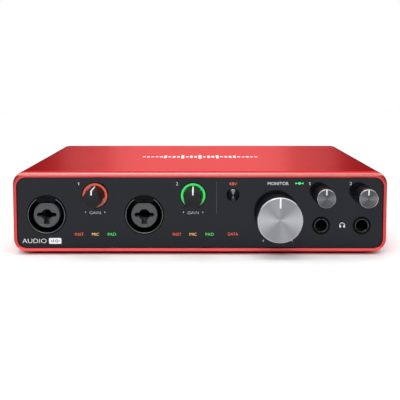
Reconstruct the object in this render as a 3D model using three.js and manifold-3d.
// A desktop audio interface: an extruded metal sleeve that holds a black front panel with its
// sockets and knobs, a steel rear panel with its connectors, and two circuit boards on a tray.
// Millimetres, +Z up. The front faces -Y, and the origin is under the middle of the whole object.
import * as THREE from 'three';
import { mergeVertices } from 'three/addons/utils/BufferGeometryUtils.js';
import Module from 'manifold-3d';

const wasm = await Module();
wasm.setup();

// Clearances
const SLIDE = 0.25; // round a piece that turns, slides or is pushed into a hole
const SEAT = 0.15; // between two pieces that rest on each other

// Case
const CASE_WIDTH = 210;
const CASE_HEIGHT = 45.7;
const CASE_DEPTH = 134;
const CASE_WALL = 2.2;
const CASE_TOP_WALL = 3.3;
const CASE_CORNER = 7.5;
const CASE_EDGE = 1.7; // rounding of the outer edge at both ends
const FOOT_RADIUS = 7;
const FOOT_HEIGHT = 1.8;
const FOOT_CHAMFER = 0.6;
const FOOT_INSET_X = 22;
const FOOT_INSET_Y = 16;
const PORT_RADIUS = 3; // the screw ports that run along the inner corners

// Panels
const PANEL_RECESS = 0.8;
const FRONT_THICKNESS = 2.5;
const REAR_THICKNESS = 1.5;
const SCREW_RADIUS = 1.1;
const SCREW_LENGTH = 9;
const SCREW_HEAD_RADIUS = 2.5;
const SCREW_HEAD_HEIGHT = 1.5;
const LOCK_SLOT_WIDTH = 3;
const LOCK_SLOT_HEIGHT = 7;

// Tray and boards
const TRAY_SHEET = 1.2;
const POST_HEIGHT = 3;
const POST_RADIUS = 3;
const POST_INSET = 8;
const BOARD = 1.6;
const RIBBON_WIDTH = 32;
const RIBBON_THICKNESS = 1;
const RIBBON_REACH = 7;
const RIBBON_DROP = 9;

// Combined microphone and jack sockets
const COMBO_RADIUS = 10.9;
const COMBO_WALL = 0.8;
const COMBO_PROUD = 0.6;
const COMBO_DEPTH = 24;
const COMBO_BACK = 2;
const INSERT_RADIUS = 7.35;
const INSERT_RECESS = 0.7;
const INSERT_FLAT = 6.6; // from the middle to the flat at the top
const PIN_SLOT_WIDTH = 2.4;
const PIN_SLOT_REACH = 5.6;
const PIN_SLOT_DEPTH = 9;
const KEY_WIDTH = 10.4;
const KEY_DEPTH = 3; // from the outside of the shell

// Jacks
const JACK_BORE = 3.2; // a 6.35 mm plug
const JACK_COLLAR = 4.8;
const JACK_PROUD = 0.6;
const JACK_BODY = 11;
const JACK_DEPTH = 19;
const JACK_BACK = 1.5;
const LINE_PROUD = 1.8;
const LINE_COLLAR = 5.2;

// Knobs, their shafts and the potentiometers behind them
const GAIN_RADIUS = 5.1;
const GAIN_LENGTH = 13.5;
const GAIN_POINTER = 2.8;
const HALO_INNER = 5.35;
const HALO_OUTER = 7.15;
const HALO_PROUD = 0.35;
const HALO_FLOOR = 1;
const HALO_LEG = 1.2;
const MONITOR_RADIUS = 12.95;
const MONITOR_LENGTH = 12.2;
const MONITOR_CAP = 1.8;
const MONITOR_POINTER = 5.6;
const PHONES_RADIUS = 5.55;
const PHONES_LENGTH = 12.9;
const PHONES_CAP = 1.3;
const PHONES_POINTER = 3;
const POINTER_WIDTH = 0.8;
const POINTER_CUT = 0.4;
const KNOB_GAP = 0.6; // between a knob and the panel
const KNOB_TAPER = 0.25;
const KNOB_CHAMFER = 0.5;
const SHAFT_RADIUS = 2;
const SHAFT_IN_KNOB = 7;
const POT_BODY = 9.4;
const POT_DEPTH = 8;
const POT_BACK = 1.2;

// Phantom power button and its switch
const BUTTON_RADIUS = 3.35;
const BUTTON_PROUD = 1.4;
const BUTTON_TRAVEL = 0.8;
const BUTTON_CAP = 4.6;
const BUTTON_CHAMFER = 0.3;
const STEM_RADIUS = 1.3;
const STEM_REACH = 2.2;
const SWITCH_BODY = 6.4;

// Light guide behind the three lit words of each channel
const GUIDE_HEIGHT = 4;
const GUIDE_DEPTH = 5;
const GUIDE_END_INSET = 3;

// Rear connectors
const CONNECTOR_DEPTH = 14;
const DIN_RADIUS = 7.6;
const DIN_PROUD = 0.9;
const DIN_BODY_WIDTH = 19;
const DIN_BODY_HEIGHT = 18;
const PHONO_PITCH = 14;
const PHONO_RADIUS = 4.2;
const PHONO_BORE = 1.7;
const PHONO_WELL = 9;
const PHONO_PROUD = 2.8;
const PHONO_BODY = 10.5;
const USB_WIDTH = 9;
const USB_HEIGHT = 3.3;
const USB_SHELL = 0.35;
const USB_TONGUE = 0.8;
const USB_TONGUE_RECESS = 0.6;
const USB_PROUD = 0.4;
const DC_RADIUS = 3.9;
const DC_BODY = 10;
const DC_BORE = 2.75;
const DC_WELL = 9;
const DC_PROUD = 0.5;
const ROCKER_WIDTH = 9;
const ROCKER_HALF = 5.8;
const ROCKER_NOSE = 4.4; // from the pivot to the raised ends
const ROCKER_VALLEY = 3.4; // from the pivot to the middle of the face
const ROCKER_TAIL = 2; // from the pivot to the flat behind it
const ROCKER_EDGE = 0.5; // from the pivot to the inner end of each raised end
const ROCKER_SWING = 14; // degrees from one stop to the other
const BEZEL_RIM = 1.4;
const BEZEL_PROUD = 1;
const BEZEL_DEPTH = 12;

// Columns and rows, as shares of the panel's width and height from its middle
const CHANNELS = [
  { socket: -0.4202, knob: -0.2871, guide: -0.2871 },
  { socket: -0.1527, knob: -0.0188, guide: -0.0188 },
];
const BUTTON_COLUMN = 0.0902;
const MONITOR_COLUMN = 0.2134;
const PHONES_COLUMN = 0.3348;
const JACK_COLUMN = 0.3322;
const SOCKET_ROW = -0.03;
const GAIN_ROW = 0.2465;
const BUTTON_ROW = 0.254;
const MONITOR_ROW = -0.0465;
const PHONES_ROW = 0.2565;
const JACK_ROW = -0.184;
const GUIDE_ROW = -0.3059;
const GUIDE_LENGTH = 24;
const LINE_COLUMNS = [-0.4, -0.32, -0.24, -0.16];
const LINE_ROW = 0.045;
const LINE_PITCH = 13;
const DIN_COLUMN = -0.008;
const DIN_PITCH = 20.5;
const DIN_ROW = 0.034;
const PHONO_COLUMN = 0.155;
const USB_COLUMN = 0.225;
const DC_COLUMN = 0.29;
const ROCKER_COLUMN = 0.375;
const LOCK_COLUMN = 0.45;
const PLUG_ROW = -0.007;

// From the panel's side to the outer headphone knob and jack, which stay clear of the screw ports
const PHONES_INSET = 11.034;
const JACK_INSET = 11.568;

const FACETS = 32;
const FINE = 20;
const CORNER_FACETS = 6;

// Places that follow from the sizes above
const frontReach = Math.max(GAIN_LENGTH, MONITOR_LENGTH, PHONES_LENGTH) - PANEL_RECESS;
const rearReach = Math.max(PHONO_PROUD, LINE_PROUD, SCREW_HEAD_HEIGHT) - PANEL_RECESS;
const sleeveFront = (frontReach - rearReach - CASE_DEPTH) / 2;
const sleeveRear = sleeveFront + CASE_DEPTH;
const sleeveBottom = FOOT_HEIGHT;
const sleeveTop = sleeveBottom + CASE_HEIGHT;
const innerFloor = sleeveBottom + CASE_WALL;
const openingWidth = CASE_WIDTH - 2 * CASE_WALL;
const openingHeight = CASE_HEIGHT - CASE_WALL - CASE_TOP_WALL;
const middle = innerFloor + openingHeight / 2;
const openingCorner = CASE_CORNER - CASE_WALL;
const panelWidth = openingWidth - 2 * SLIDE;
const panelHeight = openingHeight - 2 * SLIDE;
const panelCorner = openingCorner - SLIDE;
const face = sleeveFront + PANEL_RECESS;
const faceBack = face + FRONT_THICKNESS;
const rearFace = sleeveRear - PANEL_RECESS;
const rearBack = rearFace - REAR_THICKNESS;
const headRoom = SCREW_HEAD_RADIUS + SLIDE; // the screw heads stay clear of the rounded inner corners
const portInset = Math.max(headRoom, openingCorner - (openingCorner - headRoom) * Math.SQRT1_2);
const portX = openingWidth / 2 - portInset;
const portZ = openingHeight / 2 - portInset;
const innerHalf = portX - PORT_RADIUS - SLIDE;
const trayTop = innerFloor + SEAT + TRAY_SHEET;
const boardBottom = trayTop + POST_HEIGHT + SEAT;
const boardTop = boardBottom + BOARD;
const potFront = faceBack + SEAT;
const frontBoard = potFront + POT_DEPTH + SEAT;
const frontBoardBack = frontBoard + BOARD;
const mainFront = frontBoardBack + SLIDE;
const mainRear = rearBack - SLIDE;

const column = (share) => share * panelWidth;
const row = (share) => middle + share * panelHeight;
const phonesColumns = [column(PHONES_COLUMN), panelWidth / 2 - PHONES_INSET];
const jackColumns = [column(JACK_COLUMN), panelWidth / 2 - JACK_INSET];
// The height of a piece that stands on the main board, or higher where its row is higher.
const standing = (share, halfHeight) => Math.max(row(share), boardTop + SEAT + halfHeight);
const comboZ = standing(SOCKET_ROW, COMBO_RADIUS);
const jackZ = standing(JACK_ROW, JACK_BODY / 2);
const lineZ = standing(LINE_ROW, (LINE_PITCH + JACK_BODY) / 2);
const lineHeights = [lineZ - LINE_PITCH / 2, lineZ + LINE_PITCH / 2];
const dinPlaces = [-0.5, 0.5].map((share) => column(DIN_COLUMN) + share * DIN_PITCH);
const dinZ = standing(DIN_ROW, DIN_BODY_HEIGHT / 2);
const phonoZ = standing(DIN_ROW, (PHONO_PITCH + PHONO_BODY) / 2);
const phonoHeights = [phonoZ - PHONO_PITCH / 2, phonoZ + PHONO_PITCH / 2];
const plugZ = standing(PLUG_ROW, DC_BODY / 2);
const radians = THREE.MathUtils.degToRad;

// ---------------------------------------------------------------- solids

function toSolid(geometry) {
  const bare = geometry.clone();
  bare.deleteAttribute('normal');
  bare.deleteAttribute('uv');
  const merged = mergeVertices(bare, 1e-4);
  const corners = merged.index.array;
  const kept = [];
  for (let i = 0; i < corners.length; i += 3) {
    const [a, b, c] = [corners[i], corners[i + 1], corners[i + 2]];
    if (a !== b && b !== c && c !== a) kept.push(a, b, c);
  }
  const vertProperties = new Float32Array(merged.attributes.position.array);
  if (signedVolume(vertProperties, kept) < 0) kept.reverse();
  const mesh = new wasm.Mesh({ numProp: 3, vertProperties, triVerts: new Uint32Array(kept) });
  return new wasm.Manifold(mesh);
}

function signedVolume(places, corners) {
  const at = (i) => new THREE.Vector3().fromArray(places, 3 * i);
  let total = 0;
  for (let i = 0; i < corners.length; i += 3) {
    total += at(corners[i]).dot(at(corners[i + 1]).cross(at(corners[i + 2])));
  }
  return total;
}

function toGeometry(solid) {
  const mesh = solid.getMesh();
  const geometry = new THREE.BufferGeometry();
  geometry.setAttribute('position', new THREE.BufferAttribute(new Float32Array(mesh.vertProperties), 3));
  geometry.setIndex(new THREE.BufferAttribute(new Uint32Array(mesh.triVerts), 1));
  geometry.computeVertexNormals();
  return geometry;
}

const joined = (first, ...others) => others.reduce((sum, other) => sum.add(other), first);
const cut = (first, ...others) => others.reduce((rest, other) => rest.subtract(other), first);

// A box from its lowest to its highest corner.
function block(x0, x1, y0, y1, z0, z1) {
  const box = new THREE.BoxGeometry(x1 - x0, y1 - y0, z1 - z0);
  return toSolid(box.translate((x0 + x1) / 2, (y0 + y1) / 2, (z0 + z1) / 2));
}

// A box around the line through (x, z) that runs along Y.
function bar(x, z, width, height, y0, y1) {
  return block(x - width / 2, x + width / 2, y0, y1, z - height / 2, z + height / 2);
}

// A turned solid about the line through (x, z) along Y, from points (radius, y).
function turned(x, z, profile, facets = FACETS) {
  const points = profile.map(([radius, y]) => new THREE.Vector2(radius, y));
  const turn = new THREE.LatheGeometry(points, facets);
  return toSolid(turn.rotateY(Math.PI / facets).translate(x, 0, z));
}

function rod(x, z, radius, y0, y1, facets = FACETS) {
  return turned(x, z, [[0, y0], [radius, y0], [radius, y1], [0, y1]], facets);
}

function roundedOutline(width, height, corner) {
  const [w, h] = [width / 2, height / 2];
  const shape = new THREE.Shape();
  shape.absarc(w - corner, h - corner, corner, 0, Math.PI / 2);
  shape.absarc(corner - w, h - corner, corner, Math.PI / 2, Math.PI);
  shape.absarc(corner - w, corner - h, corner, Math.PI, 1.5 * Math.PI);
  shape.absarc(w - corner, corner - h, corner, 1.5 * Math.PI, 2 * Math.PI);
  shape.closePath();
  return shape;
}

// A prism of an outline in (x, z) that runs along Y, with its ends rounded by edge.
function slab(x, z, shape, y0, y1, edge = 0, facets = CORNER_FACETS) {
  const geometry = new THREE.ExtrudeGeometry(shape, {
    depth: y1 - y0 - 2 * edge,
    curveSegments: facets,
    bevelEnabled: edge > 0,
    bevelThickness: edge,
    bevelSize: edge,
    bevelOffset: -edge,
    bevelSegments: 3,
  });
  return toSolid(geometry.rotateX(Math.PI / 2).translate(x, y1 - edge, z));
}

// A prism of an outline in (y, z) that runs along X.
function sideways(points, x0, x1) {
  const shape = new THREE.Shape(points.map(([y, z]) => new THREE.Vector2(y, z)));
  const geometry = new THREE.ExtrudeGeometry(shape, { depth: x1 - x0, bevelEnabled: false });
  const alongX = new THREE.Matrix4().makeBasis(
    new THREE.Vector3(0, 1, 0),
    new THREE.Vector3(0, 0, 1),
    new THREE.Vector3(1, 0, 0),
  );
  return toSolid(geometry.applyMatrix4(alongX).translate(x0, 0, 0));
}

// ---------------------------------------------------------------- materials

const paint = (color, roughness, metalness = 0) =>
  new THREE.MeshStandardMaterial({ color, roughness, metalness });
const materials = {
  red: paint(0xc8363d, 0.35, 0.6),
  gloss: paint(0x0c0d0f, 0.15),
  black: paint(0x151517, 0.5),
  spun: paint(0xb9bbbd, 0.28, 1),
  darkSpun: paint(0x77797c, 0.3, 1),
  steel: paint(0x8a8d90, 0.35, 1),
  rearSteel: paint(0x18181a, 0.5, 0.5),
  insert: paint(0x4c4e52, 0.45),
  redLight: paint(0xe15a50, 0.4),
  greenLight: paint(0x50eb64, 0.4),
  clear: paint(0xd8dcdf, 0.2),
  board: paint(0x1d5a36, 0.5),
  rubber: paint(0x1a1a1a, 0.85),
  ribbon: paint(0x8d8f93, 0.6),
};

const group = new THREE.Group();

function add(name, solid, material) {
  const mesh = new THREE.Mesh(toGeometry(solid), material);
  mesh.name = name;
  group.add(mesh);
}

// ---------------------------------------------------------------- case

function corners(x, z, make) {
  return [[-x, -z], [x, -z], [-x, z], [x, z]].map(([dx, dz]) => make(dx, middle + dz));
}

function addCase() {
  const outer = roundedOutline(CASE_WIDTH, CASE_HEIGHT, CASE_CORNER);
  const inner = roundedOutline(openingWidth, openingHeight, openingCorner);
  const shell = cut(
    slab(0, (sleeveBottom + sleeveTop) / 2, outer, sleeveFront, sleeveRear, CASE_EDGE),
    slab(0, middle, inner, sleeveFront - 1, sleeveRear + 1),
  );
  const portFront = faceBack + SEAT;
  const portRear = rearBack - SEAT;
  const ports = corners(portX, portZ, (x, z) => rod(x, z, PORT_RADIUS, portFront, portRear, FINE));
  const holes = corners(portX, portZ, (x, z) =>
    rod(x, z, SCREW_RADIUS + SLIDE, portFront - 1, portRear + 1, FINE));
  add('outer_sleeve', cut(joined(shell, ...ports), ...holes), materials.red);

}

function addFeet() {
  const top = sleeveBottom - SEAT;
  const profile = [
    [0, 0],
    [FOOT_RADIUS - FOOT_CHAMFER, 0],
    [FOOT_RADIUS, FOOT_CHAMFER],
    [FOOT_RADIUS, top],
    [0, top],
  ].map(([radius, z]) => new THREE.Vector2(radius, z));
  const ends = { front: sleeveFront + FOOT_INSET_Y, rear: sleeveRear - FOOT_INSET_Y };
  const sides = { left: FOOT_INSET_X - CASE_WIDTH / 2, right: CASE_WIDTH / 2 - FOOT_INSET_X };
  for (const [side, x] of Object.entries(sides)) {
    for (const [end, y] of Object.entries(ends)) {
      const foot = new THREE.LatheGeometry(profile, FACETS).rotateX(Math.PI / 2);
      add(`foot_${end}_${side}`, toSolid(foot.translate(x, y, 0)), materials.rubber);
    }
  }
}

// Pan-head screws through the rear panel into the sleeve's ports.
function addScrews() {
  const head = rearFace + SEAT;
  const names = ['low_left', 'low_right', 'high_left', 'high_right'];
  const screws = corners(portX, portZ, (x, z) => {
    const body = turned(x, z, [
      [0, head - SCREW_LENGTH],
      [SCREW_RADIUS, head - SCREW_LENGTH],
      [SCREW_RADIUS, head],
      [SCREW_HEAD_RADIUS, head],
      [SCREW_HEAD_RADIUS, head + 0.5 * SCREW_HEAD_HEIGHT],
      [0.7 * SCREW_HEAD_RADIUS, head + SCREW_HEAD_HEIGHT],
      [0, head + SCREW_HEAD_HEIGHT],
    ], FINE);
    const [length, width] = [1.1 * SCREW_HEAD_RADIUS, 0.3 * SCREW_HEAD_RADIUS];
    const depth = [head + 0.4 * SCREW_HEAD_HEIGHT, head + 2 * SCREW_HEAD_HEIGHT];
    return cut(body, bar(x, z, length, width, ...depth), bar(x, z, width, length, ...depth));
  });
  screws.forEach((screw, i) => add(`rear_screw_${names[i]}`, screw, materials.steel));
}

// ---------------------------------------------------------------- front

const knobHole = SHAFT_RADIUS + SLIDE;

function addFrontPanel() {
  const outline = roundedOutline(panelWidth, panelHeight, panelCorner);
  const through = [face - 1, faceBack + 1];
  const holes = [
    ...CHANNELS.map(({ socket }) => rod(column(socket), comboZ, COMBO_RADIUS + SLIDE, ...through)),
    ...CHANNELS.map(({ knob }) => rod(column(knob), row(GAIN_ROW), HALO_OUTER + SLIDE, ...through)),
    ...phonesColumns.map((x) => rod(x, row(PHONES_ROW), knobHole, ...through, FINE)),
    ...jackColumns.map((x) => rod(x, jackZ, JACK_COLLAR + SLIDE, ...through, FINE)),
    rod(column(MONITOR_COLUMN), row(MONITOR_ROW), knobHole, ...through, FINE),
    rod(column(BUTTON_COLUMN), row(BUTTON_ROW), BUTTON_RADIUS + SLIDE, ...through, FINE),
  ];
  add('front_panel', cut(slab(0, middle, outline, face, faceBack), ...holes), materials.gloss);
}

function addCombos() {
  const z = comboZ;
  const front = face - COMBO_PROUD;
  const well = front + COMBO_DEPTH - COMBO_BACK;
  const bore = COMBO_RADIUS - COMBO_WALL;
  CHANNELS.forEach(({ socket }, i) => {
    const x = column(socket);
    const cup = turned(x, z, [
      [0, well],
      [bore, well],
      [bore, front],
      [COMBO_RADIUS - COMBO_WALL / 2, front],
      [COMBO_RADIUS, front + COMBO_WALL / 2],
      [COMBO_RADIUS, front + COMBO_DEPTH],
      [0, front + COMBO_DEPTH],
    ]);
    const keyHeights = [z + COMBO_RADIUS - KEY_DEPTH, z + COMBO_RADIUS];
    const key = block(x - KEY_WIDTH / 2, x + KEY_WIDTH / 2, front, well, ...keyHeights);
    const inCup = key.intersect(rod(x, z, COMBO_RADIUS - COMBO_WALL / 2, front, well + 1));
    const keyRoom = rod(x, z, INSERT_RADIUS + SLIDE, front - 1, well);
    add(`combo_housing_${i + 1}`, joined(cup, cut(inCup, keyRoom)), materials.black);

    const insertFront = front + INSERT_RECESS;
    const disc = cut(
      rod(x, z, INSERT_RADIUS, insertFront, well - SEAT),
      bar(x, z + INSERT_FLAT + INSERT_RADIUS / 2, 2 * INSERT_RADIUS, INSERT_RADIUS, front, well),
    );
    const slotBack = insertFront + PIN_SLOT_DEPTH;
    const slots = [
      rod(x, z, JACK_BORE, front, well - JACK_BACK, FINE),
      bar(x, z, 2 * PIN_SLOT_REACH - PIN_SLOT_WIDTH, PIN_SLOT_WIDTH, front, slotBack),
      rod(x - PIN_SLOT_REACH + PIN_SLOT_WIDTH / 2, z, PIN_SLOT_WIDTH / 2, front, slotBack, 12),
      rod(x + PIN_SLOT_REACH - PIN_SLOT_WIDTH / 2, z, PIN_SLOT_WIDTH / 2, front, slotBack, 12),
      bar(x, z - PIN_SLOT_REACH / 2, PIN_SLOT_WIDTH, PIN_SLOT_REACH, front, slotBack),
    ];
    add(`combo_insert_${i + 1}`, cut(disc, ...slots), materials.insert);
  });
}

// A potentiometer: a box with a blind bore that holds the shaft.
function pot(x, z) {
  const body = bar(x, z, POT_BODY, POT_BODY, potFront, potFront + POT_DEPTH);
  return cut(body, rod(x, z, knobHole, potFront - 1, potFront + POT_DEPTH - POT_BACK, FINE));
}

function shaft(x, z, knobBase) {
  return rod(x, z, SHAFT_RADIUS, knobBase - SHAFT_IN_KNOB, potFront + POT_DEPTH - POT_BACK - SLIDE, FINE);
}

function addGainControls() {
  const z = row(GAIN_ROW);
  const tip = face - GAIN_LENGTH;
  const base = face + SLIDE;
  CHANNELS.forEach(({ knob }, i) => {
    const x = column(knob);
    const body = turned(x, z, [
      [0, base],
      [GAIN_RADIUS, base],
      [GAIN_RADIUS - KNOB_TAPER, tip + KNOB_CHAMFER],
      [GAIN_RADIUS - KNOB_TAPER - KNOB_CHAMFER, tip],
      [0, tip],
    ]);
    const bore = rod(x, z, knobHole, base - SHAFT_IN_KNOB - SLIDE, base + 1, FINE);
    const grooveZ = z + GAIN_RADIUS - GAIN_POINTER / 2;
    const groove = bar(x, grooveZ, POINTER_WIDTH, GAIN_POINTER, tip - 1, tip + POINTER_CUT);
    add(`gain_knob_${i + 1}`, cut(body, bore, groove), materials.black);
    add(`gain_shaft_${i + 1}`, shaft(x, z, base), materials.steel);
    add(`gain_pot_${i + 1}`, pot(x, z), materials.steel);

    const ring = turned(x, z, [
      [HALO_INNER, face - HALO_PROUD],
      [HALO_OUTER, face - HALO_PROUD],
      [HALO_OUTER, faceBack],
      [knobHole, faceBack],
      [knobHole, faceBack - HALO_FLOOR],
      [HALO_INNER, faceBack - HALO_FLOOR],
      [HALO_INNER, face - HALO_PROUD],
    ]);
    const legs = [-1, 1].map((side) => {
      const legX = x + side * (HALO_OUTER - HALO_LEG / 2);
      return bar(legX, z, HALO_LEG, 2 * HALO_LEG, faceBack - HALO_FLOOR / 2, frontBoard - SEAT);
    });
    add(`gain_halo_${i + 1}`, joined(ring, ...legs), i === 0 ? materials.redLight : materials.greenLight);
  });
}

// A knob in two pieces: a dark body and a spun metal cap let into its end.
function addCappedKnob(name, x, z, radius, length, cap, pointer, finish) {
  const tip = face - length;
  const base = face - KNOB_GAP;
  const body = turned(x, z, [
    [0, base],
    [radius, base],
    [radius - KNOB_TAPER, tip + cap + SEAT],
    [0, tip + cap + SEAT],
  ]);
  const bore = rod(x, z, knobHole, base - SHAFT_IN_KNOB - SLIDE, base + 1, FINE);
  add(`${name}_knob`, cut(body, bore), materials.black);

  const rim = radius - KNOB_TAPER;
  const disc = turned(x, z, [
    [0, tip + cap],
    [rim, tip + cap],
    [rim, tip + KNOB_CHAMFER],
    [rim - KNOB_CHAMFER, tip],
    [0, tip],
  ]);
  const notch = bar(x, z + rim - pointer / 2, POINTER_WIDTH, pointer, tip - 1, tip + POINTER_CUT);
  add(`${name}_cap`, cut(disc, notch), finish);
  add(`${name}_shaft`, shaft(x, z, base), materials.steel);
  add(`${name}_pot`, pot(x, z), materials.steel);
}

function addVolumeControls() {
  addCappedKnob('monitor', column(MONITOR_COLUMN), row(MONITOR_ROW), MONITOR_RADIUS, MONITOR_LENGTH,
    MONITOR_CAP, MONITOR_POINTER, materials.spun);
  phonesColumns.forEach((x, i) => {
    addCappedKnob(`headphone_${i + 1}`, x, row(PHONES_ROW), PHONES_RADIUS, PHONES_LENGTH,
      PHONES_CAP, PHONES_POINTER, materials.darkSpun);
  });
}

function addPhantomButton() {
  const [x, z] = [column(BUTTON_COLUMN), row(BUTTON_ROW)];
  const tip = face - BUTTON_PROUD;
  const back = tip + BUTTON_CAP;
  const switchFront = back + BUTTON_TRAVEL + SLIDE;
  const button = turned(x, z, [
    [0, tip],
    [BUTTON_RADIUS - BUTTON_CHAMFER, tip],
    [BUTTON_RADIUS, tip + BUTTON_CHAMFER],
    [BUTTON_RADIUS, back],
    [STEM_RADIUS, back],
    [STEM_RADIUS, switchFront + STEM_REACH],
    [0, switchFront + STEM_REACH],
  ], FINE);
  add('phantom_button', button, materials.darkSpun);
  const housing = bar(x, z, SWITCH_BODY, SWITCH_BODY, switchFront, frontBoard - SEAT);
  const wellBack = switchFront + STEM_REACH + BUTTON_TRAVEL + SLIDE;
  const well = rod(x, z, STEM_RADIUS + SLIDE, switchFront - 1, wellBack, FINE);
  add('phantom_switch', cut(housing, well), materials.black);
}

// A jack: a collar that shows at the panel, a square body behind it and a blind bore.
function jack(x, z, outside, inside, direction, collar) {
  const end = inside + direction * JACK_DEPTH;
  const span = (a, b) => [Math.min(a, b), Math.max(a, b)];
  const bodyStart = inside + direction * SEAT;
  return cut(
    joined(
      rod(x, z, collar, ...span(outside, bodyStart + direction)),
      bar(x, z, JACK_BODY, JACK_BODY, ...span(bodyStart, end)),
    ),
    rod(x, z, JACK_BORE, ...span(outside - direction, end - direction * JACK_BACK), FINE),
  );
}

function addHeadphoneJacks() {
  jackColumns.forEach((x, i) => {
    const body = jack(x, jackZ, face - JACK_PROUD, faceBack, 1, JACK_COLLAR);
    add(`headphone_jack_${i + 1}`, body, materials.black);
  });
}

// A clear strip with three blocks that carries light to the words under each gain knob.
function addLightGuides() {
  CHANNELS.forEach(({ guide }, i) => {
    const [x, z] = [column(guide), row(GUIDE_ROW)];
    const front = faceBack + SEAT;
    const spacing = GUIDE_LENGTH / 2 - GUIDE_END_INSET;
    const strip = bar(x, z, GUIDE_LENGTH, GUIDE_HEIGHT / 2, front + GUIDE_DEPTH / 2, front + GUIDE_DEPTH);
    const blocks = [-spacing, 0, spacing].map((dx) =>
      bar(x + dx, z, GUIDE_HEIGHT, GUIDE_HEIGHT, front, front + GUIDE_DEPTH));
    add(`light_guide_${i + 1}`, joined(strip, ...blocks), materials.clear);
  });
}

// ---------------------------------------------------------------- boards

function addTray() {
  const [y0, y1] = [faceBack + SLIDE, rearBack - SLIDE];
  const bottom = innerFloor + SEAT;
  const floor = block(-innerHalf, innerHalf, y0, y1, bottom, trayTop);
  const sides = [-1, 1].map((side) => {
    const outer = side * innerHalf;
    const inner = side * (innerHalf - TRAY_SHEET);
    return block(Math.min(outer, inner), Math.max(outer, inner), y0, y1, bottom, boardTop);
  });
  const posts = [];
  for (const x of [-1, 1]) {
    for (const y of [mainFront + POST_INSET, mainRear - POST_INSET]) {
      const length = POST_HEIGHT + TRAY_SHEET / 2;
      const post = new THREE.CylinderGeometry(POST_RADIUS, POST_RADIUS, length, FINE);
      const place = [x * (innerHalf - TRAY_SHEET - POST_INSET), y, trayTop + POST_HEIGHT - length / 2];
      posts.push(toSolid(post.rotateX(Math.PI / 2).translate(...place)));
    }
  }
  add('chassis_tray', joined(floor, ...sides, ...posts), materials.steel);
}

function addBoards() {
  const half = innerHalf - TRAY_SHEET - SLIDE;
  add('main_board', block(-half, half, mainFront, mainRear, boardBottom, boardTop), materials.board);

  const low = boardTop;
  const high = middle + openingHeight / 2 - 2 * SLIDE;
  const through = [frontBoard - 1, frontBoardBack + 1];
  const slot = (x, halfWidth, top) => block(x - halfWidth, x + halfWidth, ...through, low - 1, top);
  const comboRoom = COMBO_RADIUS + SLIDE;
  const jackRoom = JACK_BODY / 2 + SLIDE;
  const cutOuts = [
    ...CHANNELS.map(({ socket }) => rod(column(socket), comboZ, comboRoom, ...through)),
    ...CHANNELS.map(({ socket }) => slot(column(socket), comboRoom, comboZ)),
    ...jackColumns.map((x) => slot(x, jackRoom, jackZ + jackRoom)),
  ];
  const front = block(-half, half, frontBoard, frontBoardBack, low, high);
  add('front_board', cut(front, ...cutOuts), materials.board);

  const start = frontBoardBack + SEAT;
  const end = start + RIBBON_REACH;
  const base = boardTop + SEAT;
  const ribbonTop = base + RIBBON_DROP;
  const x = column(BUTTON_COLUMN);
  const ribbon = sideways([
    [start, ribbonTop - RIBBON_THICKNESS],
    [end - 2 * RIBBON_THICKNESS, ribbonTop - RIBBON_THICKNESS],
    [end - RIBBON_THICKNESS, ribbonTop - 2 * RIBBON_THICKNESS],
    [end - RIBBON_THICKNESS, base],
    [end, base],
    [end, ribbonTop - 1.4 * RIBBON_THICKNESS],
    [end - 1.4 * RIBBON_THICKNESS, ribbonTop],
    [start, ribbonTop],
  ], x - RIBBON_WIDTH / 2, x + RIBBON_WIDTH / 2);
  add('ribbon_cable', ribbon, materials.ribbon);
}

// ---------------------------------------------------------------- rear

const rockerPivot = rearFace + BEZEL_PROUD - ROCKER_VALLEY;
const rockerLean = radians(ROCKER_SWING / 2);
const rockerSweep = ROCKER_HALF * Math.cos(rockerLean) + ROCKER_NOSE * Math.sin(rockerLean) + SLIDE;
const bezelWidth = ROCKER_WIDTH + 2 * (SLIDE + BEZEL_RIM);
const bezelHeight = 2 * (rockerSweep + BEZEL_RIM);

function addRearPanel() {
  const outline = roundedOutline(panelWidth, panelHeight, panelCorner);
  const through = [rearBack - 1, rearFace + 1];
  const holes = [
    ...corners(portX, portZ, (x, z) => rod(x, z, SCREW_RADIUS + SLIDE, ...through, FINE)),
    ...LINE_COLUMNS.flatMap((x) =>
      lineHeights.map((z) => rod(column(x), z, LINE_COLLAR + SLIDE, ...through, FINE))),
    ...dinPlaces.map((x) => rod(x, dinZ, DIN_RADIUS + SLIDE, ...through)),
    ...phonoHeights.map((z) => rod(column(PHONO_COLUMN), z, PHONO_RADIUS + SLIDE, ...through, FINE)),
    bar(column(USB_COLUMN), plugZ, USB_WIDTH + 2 * SLIDE, USB_HEIGHT + 2 * SLIDE, ...through),
    rod(column(DC_COLUMN), plugZ, DC_RADIUS + SLIDE, ...through, FINE),
    bar(column(ROCKER_COLUMN), plugZ, bezelWidth - BEZEL_RIM + 2 * SLIDE,
      bezelHeight - BEZEL_RIM + 2 * SLIDE, ...through),
    bar(column(LOCK_COLUMN), plugZ, LOCK_SLOT_WIDTH, LOCK_SLOT_HEIGHT, ...through),
  ];
  add('rear_panel', cut(slab(0, middle, outline, rearBack, rearFace), ...holes), materials.rearSteel);
}

function addLineJacks() {
  LINE_COLUMNS.forEach((share, i) => {
    lineHeights.forEach((z, j) => {
      const body = jack(column(share), z, rearFace + LINE_PROUD, rearBack, -1, LINE_COLLAR);
      add(`line_jack_${j * LINE_COLUMNS.length + i + 1}`, body, materials.black);
    });
  });
}

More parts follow.
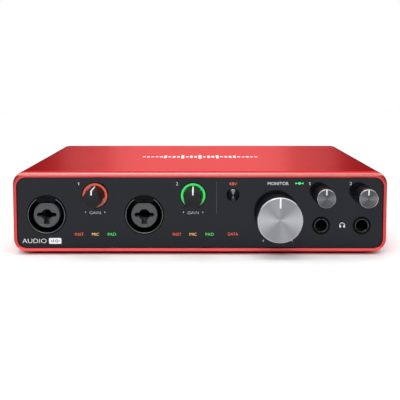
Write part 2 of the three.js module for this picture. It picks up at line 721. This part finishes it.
// The round sockets are solid here: their pin holes and ring slots are under 2 mm wide.
function addDinSockets() {
  dinPlaces.forEach((x, i) => {
    const z = dinZ;
    const bodyFront = rearBack - SEAT;
    const barrel = rod(x, z, DIN_RADIUS, bodyFront - 1, rearFace + DIN_PROUD);
    const body = bar(x, z, DIN_BODY_WIDTH, DIN_BODY_HEIGHT, bodyFront - CONNECTOR_DEPTH, bodyFront);
    add(`midi_socket_${i + 1}`, joined(barrel, body), materials.black);
  });
}

function addPhonoPair() {
  const x = column(PHONO_COLUMN);
  const front = rearFace + PHONO_PROUD;
  const bodyFront = rearBack - SEAT;
  const height = PHONO_PITCH + PHONO_BODY;
  const barrels = phonoHeights.map((z) => rod(x, z, PHONO_RADIUS, bodyFront - 1, front, FINE));
  const bores = phonoHeights.map((z) => rod(x, z, PHONO_BORE, front - PHONO_WELL, front + 1, FINE));
  const body = bar(x, phonoZ, PHONO_BODY, height, bodyFront - CONNECTOR_DEPTH, bodyFront);
  add('digital_phono_pair', cut(joined(body, ...barrels), ...bores), materials.black);
}

function addUsbPort() {
  const [x, z] = [column(USB_COLUMN), plugZ];
  const front = rearFace + USB_PROUD;
  const back = rearBack - CONNECTOR_DEPTH / 2;
  const corner = 0.48 * USB_HEIGHT;
  const [width, height] = [USB_WIDTH - 2 * USB_SHELL, USB_HEIGHT - 2 * USB_SHELL];
  const outer = roundedOutline(USB_WIDTH, USB_HEIGHT, corner);
  const inner = roundedOutline(width, height, corner - USB_SHELL);
  const shell = cut(slab(x, z, outer, back, front), slab(x, z, inner, back + 1, front + 1));
  const tongue = bar(x, z, 0.7 * USB_WIDTH, USB_TONGUE, back + 0.5, front - USB_TONGUE_RECESS);
  add('usb_c_port', joined(shell, tongue), materials.steel);
}

function addDcInlet() {
  const [x, z] = [column(DC_COLUMN), plugZ];
  const front = rearFace + DC_PROUD;
  const bodyFront = rearBack - SEAT;
  const shell = joined(
    rod(x, z, DC_RADIUS, bodyFront - 1, front, FINE),
    bar(x, z, DC_BODY, DC_BODY, bodyFront - CONNECTOR_DEPTH, bodyFront),
  );
  const well = rod(x, z, DC_BORE, front - DC_WELL, front + 1, FINE);
  add('dc_inlet', cut(shell, well), materials.black);
}

// The power switch at rest in its off position, its lower end pressed in.
function addPowerSwitch() {
  const [x, z] = [column(ROCKER_COLUMN), plugZ];
  const inner = [ROCKER_WIDTH + 2 * SLIDE, 2 * rockerSweep];
  const front = rearFace + BEZEL_PROUD;
  const flange = bar(x, z, bezelWidth, bezelHeight, rearFace + SEAT, front);
  const neck = [bezelWidth - BEZEL_RIM, bezelHeight - BEZEL_RIM];
  const barrel = bar(x, z, ...neck, rearFace - BEZEL_DEPTH, front);
  const room = bar(x, z, ...inner, rockerPivot - ROCKER_HALF, front + 1);
  add('power_switch_frame', cut(joined(flange, barrel), room), materials.black);

  const outline = [
    [ROCKER_VALLEY, 0],
    [ROCKER_NOSE, ROCKER_HALF],
    [-ROCKER_EDGE, ROCKER_HALF],
    [-ROCKER_TAIL, ROCKER_TAIL],
    [-ROCKER_TAIL, -ROCKER_TAIL],
    [-ROCKER_EDGE, -ROCKER_HALF],
    [ROCKER_NOSE, -ROCKER_HALF],
  ].map(([y, up]) => [
    rockerPivot + y * Math.cos(rockerLean) + up * Math.sin(rockerLean),
    z - y * Math.sin(rockerLean) + up * Math.cos(rockerLean),
  ]);
  add('power_rocker', sideways(outline, x - ROCKER_WIDTH / 2, x + ROCKER_WIDTH / 2), materials.black);
}

addCase();
addFeet();
addScrews();
addFrontPanel();
addCombos();
addGainControls();
addVolumeControls();
addPhantomButton();
addHeadphoneJacks();
addLightGuides();
addTray();
addBoards();
addRearPanel();
addLineJacks();
addDinSockets();
addPhonoPair();
addUsbPort();
addDcInlet();
addPowerSwitch();

export default group;
